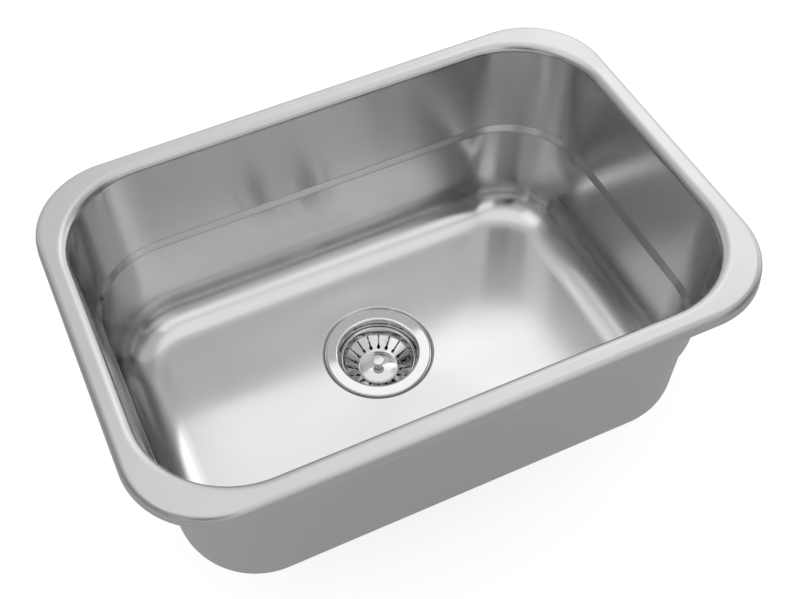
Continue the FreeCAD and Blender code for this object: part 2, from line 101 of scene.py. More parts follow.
# The strainer. A drop is measured down from the flange's top.
FLANGE_R, FLANGE_HEIGHT, FLANGE_BEND = 57.15, 1.8, 1.2   # 4 1/2 in across
MOUTH_R, MOUTH_BEND = 43.0, 3.5      # from the flange into the cup
STEP_DROP, STEP_FOOT_DROP = 12.35, 13.75                 # the step that carries the basket
CUP_R, CUP_STEP_R = 42.4, 40.4       # inside the cup, above and below that step
BELLY_DROP, BELLY_BEND = 28.0, 6.0   # where the cup turns in towards the seat
SEAT_DROP, SEAT_R = 42.0, 29.0
OUTLET_STEP_DROP = 52.0              # where the outlet's bore narrows
OUTLET_BORE_R, OUTLET_END_BORE_R = 20.0, 19.0
OUTLET_R, OUTLET_SHOULDER_R = 23.8, 30.6
CUP_OUTSIDE_R = 44.4
CUP_WALL = 3.2                       # under the seat
CUP_THREAD = (2.6, 0.9)              # pitch and depth, for the locknut
OUTLET_THREAD = (2.2, 0.8)           # and for the coupling nut
ROWS_PER_TURN = 6                    # rows of points that show each turn of a thread

# The basket.
BEAD_AT, BEAD_R = 39.9, 1.1          # its rolled rim, round a circle at this radius
BASKET_STEEL = 0.8
COLLAR_R, COLLAR_FOOT_R, COLLAR_HEIGHT = 39.0, 37.8, 8.6
BASKET_FLOOR_R = 21.6
POST_R = 2.12                        # the hole for the post that holds the knob
EYE_AT, EYE_R = 25.2, 2.0            # each slot is a keyhole: a round eye near the dome
SLOT_TIP_AT, SLOT_HALF = 36.3, 0.85  # and a narrow slot that runs out from it to a round tip
FIRST_SLOT = math.radians(85.0)
SECTOR_STEPS = 5                     # steps from a slot's edge to halfway to the next slot
ROW_GAP = 0.1                        # between a slot's end and the nearest other row of points
DOME_R, DOME_EDGE, DOME_BEND = 20.3, 0.6, 60.0
DOME_TOP_R = 12.58
KNOB_HEIGHT, KNOB_R = 11.2, 6.8
KNOB_FOOT_R, KNOB_NECK_R = 4.1, 3.4
KNOB_HEAD, KNOB_EDGE = 5.2, 1.7      # height of the knob's head, and of the edge round it

# The tailpiece.
TUBE_FLANGE_R, TUBE_BORE_R, TUBE_WALL, TUBE_BEND = 22.9, 17.85, 1.2, 3.0

# Heights that several pieces share, worked out from the pieces that set them.
recess_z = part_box("flange_gasket")[0].z / MM
drain_floor_z = recess_z + RECESS_DEPTH
flange_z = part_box("strainer_body")[1].z / MM
seat_z = flange_z - SEAT_DROP
outlet_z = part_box("strainer_body")[0].z / MM
basket_floor_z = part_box("knob_base")[0].z / MM
base_top_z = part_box("knob_base")[1].z / MM
basket_rim_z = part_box("basket")[1].z / MM
locknut_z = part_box("locknut")[0].z / MM
tube_end_z, tube_top_z = (corner.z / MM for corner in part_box("tailpiece"))


# ---------------------------------------------------------------- sizes and colours that a user would change

class SinkSizes(bpy.types.PropertyGroup):
    """Sizes of the pressed bowl that can be changed by themselves"""
    rim_length: FloatProperty(
        name="Rim length", description="Over the turned-down lip", default=0.6, unit="LENGTH")
    rim_width: FloatProperty(
        name="Rim width", description="Over the turned-down lip", default=0.417, unit="LENGTH")
    rim_corner: FloatProperty(
        name="Rim corner", description="Radius of the rim's outside corners", default=0.083, unit="LENGTH")
    rim_flange: FloatProperty(
        name="Rim flange", description="From the rim's outside to the wall's line", default=0.0236,
        unit="LENGTH")
    bowl_corner: FloatProperty(
        name="Bowl corner", description="Radius of the bowl's corners at the rim", default=0.0904,
        unit="LENGTH")
    edge_bend: FloatProperty(
        name="Edge bend", description="Bend from the rim into the wall", default=0.009, unit="LENGTH")
    ledge_depth: FloatProperty(
        name="Ledge depth", description="From the rim down to the ledge", default=0.107, unit="LENGTH")
    ledge_inset: FloatProperty(
        name="Ledge inset", description="How far the ledge steps in", default=0.004, unit="LENGTH")
    floor_depth: FloatProperty(
        name="Floor depth", description="From the rim down to the floor's edge", default=0.23, unit="LENGTH")
    floor_bend: FloatProperty(
        name="Floor bend", description="Bend from the wall into the floor", default=0.042, unit="LENGTH")
    slots: IntProperty(
        name="Slots", description="Keyhole slots in the basket", default=18, min=6, max=36)


class SinkFinish(bpy.types.PropertyGroup):
    """Colours and gloss of the sink's metals"""
    satin: StringProperty(
        name="Satin steel", description="Colour of the satin stainless steel, as sRGB hex", default="D1D1D1")
    satin_roughness: FloatProperty(
        name="Satin roughness", description="Blur of the satin steel's reflections", default=0.19,
        min=0, max=1, subtype="FACTOR")
    # The rim is the same steel as the bowl. Its darker colour here is painted shade, not a colour of the
    # steel.
    rim: StringProperty(
        name="Brushed rim", description="Colour of the brushed rim, as sRGB hex", default="C6C6C6")
    rim_roughness: FloatProperty(
        name="Rim roughness", description="Blur of the brushed rim's reflections", default=0.32,
        min=0, max=1, subtype="FACTOR")
    polished: StringProperty(
        name="Polished steel", description="Colour of the polished stainless steel, as sRGB hex",
        default="D6D6D6")
    polished_roughness: FloatProperty(
        name="Polished roughness", description="Blur of the polished steel's reflections", default=0.08,
        min=0, max=1, subtype="FACTOR")


# ---------------------------------------------------------------- materials

def srgb(text):
    """Linear colour of an sRGB hex value."""
    channels = [int(text[place:place + 2], 16) / 255 for place in (0, 2, 4)]
    linear = [c / 12.92 if c <= 0.04045 else ((c + 0.055) / 1.055) ** 2.4 for c in channels]
    return (*linear, 1.0)


def add_node(tree, kind, inputs=None, **settings):
    """Adds a node. An input is a value, or a socket to link from."""
    node = tree.nodes.new(kind)
    for name, value in settings.items():
        setattr(node, name, value)
    for socket, value in (inputs or {}).items():
        if isinstance(value, bpy.types.NodeSocket):
            tree.links.new(value, node.inputs[socket])
        else:
            node.inputs[socket].default_value = value
    return node


def new_material(name):
    """An empty material with its output node."""
    material = bpy.data.materials.new(name)
    if material.name != name:
        raise RuntimeError(f"there is a material called {name} already")
    material.use_nodes = True
    material.node_tree.nodes.clear()
    output = add_node(material.node_tree, "ShaderNodeOutputMaterial")
    return material, material.node_tree, output


def drift(tree, across, low, high, stretch=(1, 1, 1)):
    """A value that drifts between low and high over patches that are so many millimetres across."""
    place = add_node(tree, "ShaderNodeTexCoord")
    spread = add_node(tree, "ShaderNodeMapping", {
        "Vector": place.outputs["Object"], "Scale": [1 / (across * MM * way) for way in stretch]})
    noise = add_node(tree, "ShaderNodeTexNoise", {
        "Vector": spread.outputs["Vector"], "Scale": 1.0, "Detail": 2.0, "Roughness": 0.5})
    least, most = 0.3, 0.7               # nearly all of the noise lies between these
    value = add_node(tree, "ShaderNodeMapRange", {
        "Value": noise.outputs["Fac"], "From Min": least, "From Max": most, "To Min": low, "To Max": high})
    return value.outputs["Result"]


def satin_stainless():
    """Stainless steel, deep drawn and then satin polished with fine belts. The lines run round the walls and
    stretch the bowl's soft but clear reflections up and down. The rim, brushed flat, is evenly blurred, and
    the same steel is given a darker colour there: painted shade on the rim."""
    finish = bpy.context.scene.sink_finish
    _, tree, output = new_material("satin stainless steel")
    place = add_node(tree, "ShaderNodeTexCoord")
    axes = add_node(tree, "ShaderNodeSeparateXYZ", {"Vector": place.outputs["Object"]})
    rim_starts, rim_reached = -6.0 * MM, -1.0 * MM       # on the edge bend, just below the rim's flat
    rim = add_node(tree, "ShaderNodeMapRange", {
        "Value": axes.outputs["Z"], "From Min": rim_starts, "From Max": rim_reached},
        interpolation_type="SMOOTHSTEP")
    # Towards the rim the steel's colour turns darker: painted shade on the rim's flat. The rougher blur there
    # is the rim's real brushing.
    colour = add_node(tree, "ShaderNodeMix", {
        "Factor": rim.outputs["Result"], "A": srgb(finish.satin), "B": srgb(finish.rim)}, data_type="RGBA")
    blur = add_node(tree, "ShaderNodeMix", {
        "Factor": rim.outputs["Result"], "A": finish.satin_roughness, "B": finish.rim_roughness})
    # The belts' own scratches are about 0.05 mm apart. They are drawn 1.2 mm apart, and very faint, so that
    # they show close up. The slow drift is where the belt was pressed on more or less.
    scratches = drift(tree, 1.2, -0.012, 0.012, stretch=(60, 60, 1))
    pressure = drift(tree, 70.0, -0.014, 0.014)
    uneven = add_node(tree, "ShaderNodeMath", {0: scratches, 1: pressure}, operation="ADD")
    rough = add_node(tree, "ShaderNodeMath", {0: blur.outputs["Result"], 1: uneven.outputs["Value"]},
                     operation="ADD")
    shader = add_node(tree, "ShaderNodeBsdfPrincipled", {
        "Base Color": colour.outputs["Result"], "Metallic": 1.0, "Roughness": rough.outputs["Value"],
        "Anisotropic": 0.75, "Anisotropic Rotation": 0.25})
    tree.links.new(shader.outputs["BSDF"], output.inputs["Surface"])


def buffed_stainless():
    """Stainless steel, pressed and then buffed on a wheel: nearly a mirror, with faint rings that the wheel
    leaves round the drain's axis."""
    finish = bpy.context.scene.sink_finish
    _, tree, output = new_material("buffed stainless steel")
    place = add_node(tree, "ShaderNodeTexCoord")
    centred = add_node(tree, "ShaderNodeMapping", {
        "Vector": place.outputs["Object"], "Location": (0, -DRAIN_Y * MM, 0)})
    # The wheel's rings are finer than 0.1 mm. They are drawn 0.9 mm apart to show at all.
    wave_length = 0.314                  # of a wave texture whose scale is 1
    rings = add_node(tree, "ShaderNodeTexWave", {
        "Vector": centred.outputs["Vector"], "Scale": wave_length / (0.9 * MM), "Distortion": 1.5,
        "Detail": 1.0}, wave_type="RINGS", rings_direction="Z")
    lines = add_node(tree, "ShaderNodeMapRange", {
        "Value": rings.outputs["Fac"], "To Min": -0.015, "To Max": 0.015})
    handled = drift(tree, 9.0, finish.polished_roughness - 0.02, finish.polished_roughness + 0.02)
    rough = add_node(tree, "ShaderNodeMath", {0: lines.outputs["Result"], 1: handled}, operation="ADD")
    shader = add_node(tree, "ShaderNodeBsdfPrincipled", {
        "Base Color": srgb(finish.polished), "Metallic": 1.0, "Roughness": rough.outputs["Value"]})
    tree.links.new(shader.outputs["BSDF"], output.inputs["Surface"])


def grained(name, colours, roughness, across, stretch=(1, 1, 1), metallic=0.0, relief=0.0):
    """A material whose colour, gloss and relief vary over its grain. The grain's width and its relief are in
    millimetres, and its gloss varies three times as slowly."""
    _, tree, output = new_material(name)
    share = drift(tree, across, 0.0, 1.0, stretch)
    colour = add_node(tree, "ShaderNodeMix", {
        "Factor": share, "A": srgb(colours[0]), "B": srgb(colours[1])}, data_type="RGBA")
    shader = add_node(tree, "ShaderNodeBsdfPrincipled", {
        "Base Color": colour.outputs["Result"], "Metallic": metallic,
        "Roughness": drift(tree, across * 3, *roughness, stretch)})
    if relief:
        bump = add_node(tree, "ShaderNodeBump", {"Height": share, "Distance": relief * MM, "Strength": 1.0})
        tree.links.new(bump.outputs["Normal"], shader.inputs["Normal"])
    tree.links.new(shader.outputs["BSDF"], output.inputs["Surface"])


def fitting_finishes():
    """The finishes of the waste fittings. Where a grain is too fine to show, it is drawn coarser."""
    # Brass, polished and chrome plated: a cool mirror that handling has dulled in places.
    grained("chromed brass", ("CFD2D5", "DADCDE"), (0.05, 0.13), 16.0, metallic=1.0)
    # Brass, turned on a lathe: yellow and bright, with fine lines round it that are drawn 0.7 mm apart.
    grained("turned brass", ("A98A4C", "C2A468"), (0.20, 0.34), 0.7, stretch=(40, 40, 1), metallic=1.0)
    # Spring steel, cold rolled into strip: grey and bright, with rolling lines along it.
    grained("spring steel strip", ("8E9091", "A9ABAC"), (0.24, 0.36), 0.6, stretch=(1, 1, 12), metallic=1.0)
    # Zinc alloy, die cast and left raw: dull grey with a fine cast grain.
    grained("die-cast zinc", ("85888B", "A3A6A9"), (0.38, 0.55), 1.6, metallic=1.0, relief=0.05)
    # Rubber, moulded: nearly black and matt, with a faint bloom.
    grained("moulded black rubber", ("151515", "242424"), (0.52, 0.70), 2.4, relief=0.04)
    # Foam, closed-cell and cut from sheet: off-white with small cells.
    grained("closed-cell foam", ("BDBDB7", "D2D2CD"), (0.60, 0.75), 0.9, relief=0.08)
    # Vulcanised fibre, punched from sheet: brown, with pressed fibres.
    grained("vulcanised fibre", ("6F4B30", "94704A"), (0.55, 0.75), 1.1, stretch=(6, 1, 1), relief=0.04)
    # Polyethylene, injection moulded: milky white with a waxy gloss.
    grained("moulded polyethylene", ("D7DAD6", "E6E8E4"), (0.30, 0.42), 12.0, relief=0.02)
    # Bitumen damping sheet, rolled and glued on: charcoal and matt, with a coarse rolled grain.
    grained("bitumen damping sheet", ("222224", "38383B"), (0.62, 0.80), 2.2, relief=0.25)


# The finish of each of the frame's material slots.
FINISHES = {
    "satin_stainless": "satin stainless steel",
    "polished_stainless": "buffed stainless steel",
    "chromed_brass": "chromed brass",
    "turned_brass": "turned brass",
    "spring_steel": "spring steel strip",
    "cast_zinc": "die-cast zinc",
    "black_rubber": "moulded black rubber",
    "white_gasket": "closed-cell foam",
    "fibre": "vulcanised fibre",
    "polyethylene": "moulded polyethylene",
    "damping_pad": "bitumen damping sheet",
}


def finish_for(slot):
    """The material that stands for a slot of the frame."""
    return bpy.data.materials[FINISHES[slot]]


class SINK_OT_finishes(bpy.types.Operator):
    """Make the materials that the pieces share"""
    bl_idname = "sink.finishes"
    bl_label = "Finishes"

    def execute(self, context):
        satin_stainless()
        buffed_stainless()
        fitting_finishes()
        return {"FINISHED"}


# ---------------------------------------------------------------- shapes

def run_points(start, end):
    """Points along a straight run, closer beside its ends, each with the normal to the right of the way."""
    way = end - start
    length = way.length
    if length < ZERO:
        return []
    normal = Vector((way.y, -way.x)).normalized()
    shares = [0.0]
    if length > 4 * EDGE_STEP:
        steps = max(1, round((length - 2 * EDGE_STEP) / RUN_STEP))
        near = EDGE_STEP / length
        shares += [near + (1 - 2 * near) * step / steps for step in range(steps + 1)]
    shares.append(1.0)
    return [(start + way * share, normal) for share in shares]


def bend_points(corner, back, on, bend):
    """Points round a tangent bend at a corner, each with the normal to the right of the way."""
    half_angle = back.angle(on) / 2
    reach = bend / math.tan(half_angle)
    centre = corner + (back + on).normalized() * (bend / math.sin(half_angle))
    start, end = corner + back * reach, corner + on * reach
    turn = math.pi - 2 * half_angle
    steps = max(3, math.ceil(turn / BEND_STEP))
    left_turn = back.x * on.y - back.y * on.x < 0
    spoke = start - centre
    points = []
    for step in range(steps + 1):
        angle = turn * step / steps * (1 if left_turn else -1)
        turned = Vector((spoke.x * math.cos(angle) - spoke.y * math.sin(angle),
                         spoke.x * math.sin(angle) + spoke.y * math.cos(angle)))
        outward = turned.normalized()
        points.append((centre + turned, outward if left_turn else -outward))
    return points, start, end


def bent_line(corners):
    """Straight runs joined by tangent bends, as (point, normal). A corner is (x, z, bend radius)."""
    places = [Vector(corner[:2]) for corner in corners]
    points = []
    start = places[0]
    for before, corner, after, (_, _, bend) in zip(places, places[1:], places[2:], corners[1:]):
        if bend == 0:
            points += run_points(start, corner)
            start = corner
            continue
        back, on = (before - corner).normalized(), (after - corner).normalized()
        bent, first, last = bend_points(corner, back, on, bend)
        points += run_points(start, first) + bent
        start = last
    points += run_points(start, places[-1])
    kept = [points[0]]
    for point in points[1:]:
        if (point[0] - kept[-1][0]).length > TOUCHING:
            kept.append(point)
    return kept


def mesh_object(name, vertices, faces):
    """A smooth-shaded object from millimetre points, with crisp edges where it turns sharply."""
    mesh = bpy.data.meshes.new(name)
    mesh.from_pydata([Vector(vertex) * MM for vertex in vertices], [], faces)
    mesh.validate()
    mesh.shade_smooth()
    mesh.set_sharp_from_angle(angle=SHARP)
    piece = bpy.data.objects.new(name, mesh)
    bpy.context.scene.collection.objects.link(piece)
    return piece


def bake_modifiers(piece):
    """Puts the result of a piece's modifiers into its mesh."""
    depsgraph = bpy.context.evaluated_depsgraph_get()
    baked = bpy.data.meshes.new_from_object(piece.evaluated_get(depsgraph))
    piece.modifiers.clear()
    piece.data = baked
    baked.shade_smooth()
    baked.set_sharp_from_angle(angle=SHARP)


def strip_faces(rings, closed):
    """Quads between rings of vertex numbers that have as many vertices each. A ring of one is a point."""
    faces = []
    pairs = zip(rings, rings[1:] + rings[:1] if closed else rings[1:])
    for near, far in pairs:
        count = max(len(near), len(far))
        for place in range(count):
            following = (place + 1) % count
            if len(near) == 1:
                faces.append((near[0], far[place], far[following]))
            elif len(far) == 1:
                faces.append((near[place], far[0], near[following]))
            else:
                faces.append((near[place], far[place], far[following], near[following]))
    return faces


def from_rings(name, rings, closed=False):
    """An object from rings of points. Each ring runs the same way round."""
    vertices, numbers = [], []
    for ring in rings:
        numbers.append(list(range(len(vertices), len(vertices) + len(ring))))
        vertices += ring
    return mesh_object(name, vertices, strip_faces(numbers, closed))


def on_thread(thread, point):
    """Whether a point of an outline lies on the run that a thread is cut into."""
    radius, low, high, _, _ = thread
    return abs(point.x - radius) < 0.01 and low <= point.y <= high


def with_thread_rows(line, thread):
    """The line with a few rows for each turn of the thread, on the climbing run that it is cut into."""
    radius, low, high, pitch, _ = thread
    rows = round((high - low) / pitch * ROWS_PER_TURN)
    fresh = [Vector((radius, low + (high - low) * row / rows)) for row in range(rows + 1)]
    kept = [point for point in line if not on_thread(thread, point)]
    below = [place for place, point in enumerate(kept) if abs(point.x - radius) < 0.01 and point.y < low]
    return kept[:below[-1] + 1] + fresh + kept[below[-1] + 1:]


def thread_cut(thread, point, angle):
    """How deep a thread is cut at a point: a helix of V grooves that runs out at both ends."""
    if not on_thread(thread, point):
        return 0.0
    _, low, high, pitch, depth = thread
    phase = (point.y / pitch + angle / math.tau) % 1.0
    run_out = min(1.0, (point.y - low) / pitch, (high - point.y) / pitch)
    return depth * run_out * (1.0 - abs(2.0 * phase - 1.0))


def round_ring(point, threads=(), steps=ROUND_STEPS):
    """A ring about the drain's axis through an outline's point (radius, z), with the threads cut into it."""
    if point.x < ZERO:
        return [(0, DRAIN_Y, point.y)]
    ring = []
    for step in range(steps):
        angle = math.tau * step / steps
        radius = point.x - max((thread_cut(thread, point, angle) for thread in threads), default=0.0)
        ring.append((radius * math.cos(angle), DRAIN_Y + radius * math.sin(angle), point.y))
    return ring


def turned(name, corners, threads=(), steps=ROUND_STEPS):
    """A piece of revolution about the drain's axis. Corners are (radius, z, bend radius), in order round it,
    so that the metal lies to the left of the way. A thread is (radius, lower z, upper z, pitch, depth)."""
    first = (Vector(corners[0][:2]) + Vector(corners[-1][:2])) / 2
    on_axis = corners[0][0] == 0 and corners[-1][0] == 0
    outline = corners if on_axis else [(*first, 0), *corners, (*first, 0)]
    line = [point for point, _ in bent_line(outline)]
    if not on_axis and (line[0] - line[-1]).length < TOUCHING:
        line.pop()
    for thread in threads:
        line = with_thread_rows(line, thread)
    return from_rings(name, [round_ring(point, threads, steps) for point in line], closed=not on_axis)


def pressed(name, corners, thickness):
    """A sheet turned about the drain's axis. The given line is its face on the right of the way."""
    line = bent_line(corners)
    face = [point for point, _ in line]
    under = [point - normal * thickness for point, normal in reversed(line)]
    return from_rings(name, [round_ring(point) for point in face + under], closed=True)


def dress(piece, node, body, slot):
    """The piece stands for a CAD node: it rides where the node rides and takes its finish."""
    piece.data.materials.append(finish_for(slot))
    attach(piece, body)
    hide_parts(node)


# ---------------------------------------------------------------- the bowl

def ring_stations():
    """Where the bowl's rings have their points, as (quarter, angle, share of the side that follows)."""
    stations = []
    for quarter, steps in enumerate((30, 16, 30, 16)):
        for step in range(CORNER_STEPS + 1):
            angle = math.radians(90 * (quarter + step / CORNER_STEPS))
            stations.append((quarter, angle, 0.0))
        end_angle = math.radians(90 * (quarter + 1))
        shares = [0.004] + [step / steps for step in range(1, steps)] + [0.996]
        stations += [(quarter, end_angle, share) for share in shares]
    return stations


def rounded_ring(axis_x, axis_y, radius, z):
    """A ring round four corner axes."""
    signs = ((1, 1), (-1, 1), (-1, -1), (1, -1))
    ring = []
    for quarter, angle, share in ring_stations():
        spoke = Vector((math.cos(angle), math.sin(angle))) * radius
        here = Vector((signs[quarter][0] * axis_x, signs[quarter][1] * axis_y)) + spoke
        following = signs[(quarter + 1) % 4]
        there = Vector((following[0] * axis_x, following[1] * axis_y)) + spoke
        place = here.lerp(there, share)
        ring.append(Vector((place.x, place.y, z)))
    return ring


def drain_ring(like, radius, z):
    """A circle about the drain's axis, with its points in the directions of another ring's."""
    axis = Vector((0, DRAIN_Y))
    ring = []
    for point in like:
        spoke = (point.xy - axis).normalized() * radius
        ring.append(Vector((spoke.x, DRAIN_Y + spoke.y, z)))
    return ring


def between(ring_a, ring_b, share):
    """A ring part of the way from one ring to another."""
    return [a.lerp(b, share) for a, b in zip(ring_a, ring_b)]


def lip_line(rim_corner):
    """The rim's section from the lip's foot to the flat, seen at a corner of the rim."""
    upright = rim_corner - LIP_FLARE
    return bent_line([
        (rim_corner, -LIP_HEIGHT, 0),
        (upright, FLARE_HEIGHT - LIP_HEIGHT, FLARE_BEND),
        (upright, 0, LIP_BEND),
        (upright - LIP_BEND - 0.5, 0, 0)])


def wall_line(size):
    """The wall's section from the flat rim to the floor, seen at a corner of the bowl."""
    corner, edge_bend, floor_bend = size.bowl_corner / MM, size.edge_bend / MM, size.floor_bend / MM
    ledge_depth, floor_depth = size.ledge_depth / MM, size.floor_depth / MM
    ledge_top = corner - ledge_depth * math.tan(WALL_DRAFT)
    ledge_foot = ledge_top - size.ledge_inset / MM
    wall_foot = ledge_foot - (floor_depth - ledge_depth - LEDGE_HEIGHT) * math.tan(LOWER_DRAFT)
    floor_corner = wall_foot - floor_bend / math.tan((math.pi / 2 + LOWER_DRAFT) / 2) - 1.0
    edge_reach = edge_bend * math.tan((math.pi / 2 - WALL_DRAFT) / 2)
    return bent_line([
        (corner + edge_reach + 0.5, 0, 0),
        (corner, 0, edge_bend),
        (ledge_top, -ledge_depth, LEDGE_BEND),
        (ledge_foot, -ledge_depth - LEDGE_HEIGHT, LEDGE_BEND),
        (wall_foot, -floor_depth, floor_bend),
        (floor_corner, -floor_depth, 0)])


def recess_line():
    """The recess's section from the floor to the drain's hole."""
    return bent_line([
        (PITCH_END_R, drain_floor_z, 0),
        (RECESS_R, drain_floor_z, RECESS_BEND),
        (RECESS_FLAT_R, recess_z, RECESS_BEND),
        (DRAIN_HOLE_R, recess_z, 0)])


def floor_rings(edge, mouth):
    """Rings of the pitched floor, which leaves the walls level and reaches the recess level."""
    rings = []
    for share in (0.02, 0.08, 0.16, 0.25, 0.35, 0.45, 0.55, 0.65, 0.75, 0.84, 0.92, 0.98):
        ring = between(edge, mouth, share)
        eased = share * share * (3 - 2 * share)
        for point, start, end in zip(ring, edge, mouth):
            point.z = start.z + (end.z - start.z) * eased
        rings.append(ring)
    return rings


class SINK_OT_bowl(bpy.types.Operator):
    """Build the pressed bowl with its rim, ledge, floor and drain recess"""
    bl_idname = "sink.bowl"
    bl_label = "Bowl"

    def execute(self, context):
        size = context.scene.sink_sizes
        half_x, half_y = size.rim_length / MM / 2, size.rim_width / MM / 2
        rim_corner, bowl_corner = size.rim_corner / MM, size.bowl_corner / MM
        flange = size.rim_flange / MM
        rim_axes = (half_x - rim_corner, half_y - rim_corner)
        bowl_axes = (half_x - flange - bowl_corner, half_y - flange - bowl_corner)
        lip, wall, recess = lip_line(rim_corner), wall_line(size), recess_line()

        skins = []
        for drop in (0.0, SHEET):
            rim = [rounded_ring(*rim_axes, *(point - normal * drop)) for point, normal in lip]
            walls = [rounded_ring(*bowl_axes, *(point - normal * drop)) for point, normal in wall]
            flat = [between(rim[-1], walls[0], share) for share in (0.1, 0.5, 0.9)]
            edge = walls[-1]
            floor = floor_rings(edge, drain_ring(edge, PITCH_END_R, drain_floor_z - drop))
            drain = [drain_ring(edge, *(point - normal * drop)) for point, normal in recess]
            skins.append(rim + flat + walls + floor + drain)
        bowl = from_rings("bowl_sheet", skins[0] + skins[1][::-1], closed=True)
        dress(bowl, "sink_bowl", "sink", "satin_stainless")
        return {"FINISHED"}


# ---------------------------------------------------------------- the strainer

class SINK_OT_strainer(bpy.types.Operator):
    """Build the strainer's flange, cup and outlet"""
    bl_idname = "sink.strainer"
    bl_label = "Strainer body"

    def execute(self, context):
        collar_z = flange_z - FLANGE_HEIGHT
        shoulder_z = seat_z - CUP_WALL
        outlet_step_z = flange_z - OUTLET_STEP_DROP
        cup_thread = (CUP_OUTSIDE_R, locknut_z - 0.5, flange_z - 9.0, *CUP_THREAD)
        outlet_thread = (OUTLET_R, outlet_z + 1.0, seat_z - 6.0, *OUTLET_THREAD)
        cup = turned("strainer_cup", [
            (FLANGE_R, collar_z, 0),
            (FLANGE_R, flange_z, FLANGE_BEND),
            (MOUTH_R, flange_z, MOUTH_BEND),
            (CUP_R, flange_z - STEP_DROP, 0.8),
            (CUP_STEP_R, flange_z - STEP_FOOT_DROP, 0.8),
            (CUP_STEP_R, flange_z - BELLY_DROP, BELLY_BEND),
            (SEAT_R, seat_z, 2.0),
            (OUTLET_BORE_R, seat_z, 0.6),
            (OUTLET_BORE_R, outlet_step_z, 0),
            (OUTLET_END_BORE_R, outlet_step_z, 0),
            (OUTLET_END_BORE_R, outlet_z, 0),
            (OUTLET_R, outlet_z, 0.6),
            (OUTLET_R, shoulder_z, 2.0),
            (OUTLET_SHOULDER_R, shoulder_z, 2.0),
            (CUP_OUTSIDE_R, locknut_z - 1.5, 2.0),
            (CUP_OUTSIDE_R, collar_z, 0)], threads=(cup_thread, outlet_thread))
        dress(cup, "strainer_body", "sink", "polished_stainless")
        return {"FINISHED"}


# ---------------------------------------------------------------- the basket

def slot_half_width(radius):
    """Half the keyhole's width at a distance from the drain's axis."""
    if radius > SLOT_TIP_AT:
        return math.sqrt(max(0.0, SLOT_HALF ** 2 - (radius - SLOT_TIP_AT) ** 2))
    eye = math.sqrt(max(0.0, EYE_R ** 2 - (radius - EYE_AT) ** 2))
    return max(eye, SLOT_HALF if radius > EYE_AT else 0.0)


def slot_rows():
    """Distances from the drain's axis at which the basket's wall needs points to show its slots."""
    eye = [EYE_AT - EYE_R * math.cos(math.radians(15 * step)) for step in range(11)]
    start = eye[-1]
    straight = [start + (SLOT_TIP_AT - start) * step / 8 for step in range(1, 8)]
    tip = [SLOT_TIP_AT + SLOT_HALF * math.sin(math.radians(22.5 * step)) for step in range(5)]
    return eye + straight + tip


def at_radius(line, radius):
    """The point and normal of a line at a distance from the axis. The line comes in towards the axis."""
    radius = min(max(radius, line[-1][0].x), line[0][0].x)
    for (near, near_normal), (far, far_normal) in zip(line, line[1:]):
        if far.x <= radius <= near.x and near.x - far.x > ZERO:
            share = (near.x - radius) / (near.x - far.x)
            return near.lerp(far, share), near_normal.lerp(far_normal, share).normalized()
    raise RuntimeError(f"the basket has no wall at radius {radius:.2f}")


def basket_rows():
    """Rows across the basket from its rim inwards, as (point, normal, half the slot's width)."""
    face = bent_line([
        (BEAD_AT, basket_rim_z, 0),
        (COLLAR_R, basket_rim_z, 1.0),
        (COLLAR_FOOT_R, basket_rim_z - COLLAR_HEIGHT, 3.0),
        (BASKET_FLOOR_R, basket_floor_z, 2.0),
        (POST_R, basket_floor_z, 0)])
    slot_start, slot_end = min(slot_rows()), max(slot_rows())
    plain = [point.x for point, _ in face if not slot_start - ROW_GAP < point.x < slot_end + ROW_GAP]
    radii = sorted(set(round(radius, 5) for radius in plain + slot_rows()), reverse=True)
    return [(*at_radius(face, radius), slot_half_width(radius) if slot_start < radius < slot_end else 0.0)
            for radius in radii]


def rolled_rim():
    """Points of the basket's rolled rim, from its top outwards and down to the sheet's underside."""
    middle = Vector((BEAD_AT, basket_rim_z - BEAD_R))
    turns = [math.radians(90 - 15 * step) for step in range(1, 16)]
    return [middle + Vector((math.cos(turn), math.sin(turn))) * BEAD_R for turn in turns]


def add_half_sector(rows, rim, middle, side, half_pitch, vertices, faces):
    """Adds one half of a slot's sector: its face, underside and cut wall, and its share of the rolled rim."""

    def add_row(radius, z, start):
        numbers = []
        for column in range(SECTOR_STEPS + 1):
            angle = middle + side * (start + (half_pitch - start) * column / SECTOR_STEPS)
            numbers.append(len(vertices))
            vertices.append((radius * math.cos(angle), DRAIN_Y + radius * math.sin(angle), z))
        return numbers

    def add_strip(near, far):
        for column in range(SECTOR_STEPS):
            quad = (near[column], far[column], far[column + 1], near[column + 1])
            faces.append(quad if side > 0 else quad[::-1])

    sheets = []
    for drop in (0.0, BASKET_STEEL):
        lowered = [(point - normal * drop, half_width) for point, normal, half_width in rows]
        sheets.append([add_row(*point, math.asin(half_width / point.x)) for point, half_width in lowered])
    face, under = sheets
    for near, far in zip(face, face[1:]):
        add_strip(near, far)
    for near, far in zip(under, under[1:]):
        add_strip(far, near)
    for row in range(len(rows) - 1):
        if rows[row][2] or rows[row + 1][2]:
            quad = (face[row][0], under[row][0], under[row + 1][0], face[row + 1][0])
            faces.append(quad if side > 0 else quad[::-1])
    add_strip(face[-1], under[-1])
    edge = [face[0], *(add_row(*point, 0.0) for point in rim), under[0]]
    for near, far in zip(edge, edge[1:]):
        add_strip(far, near)


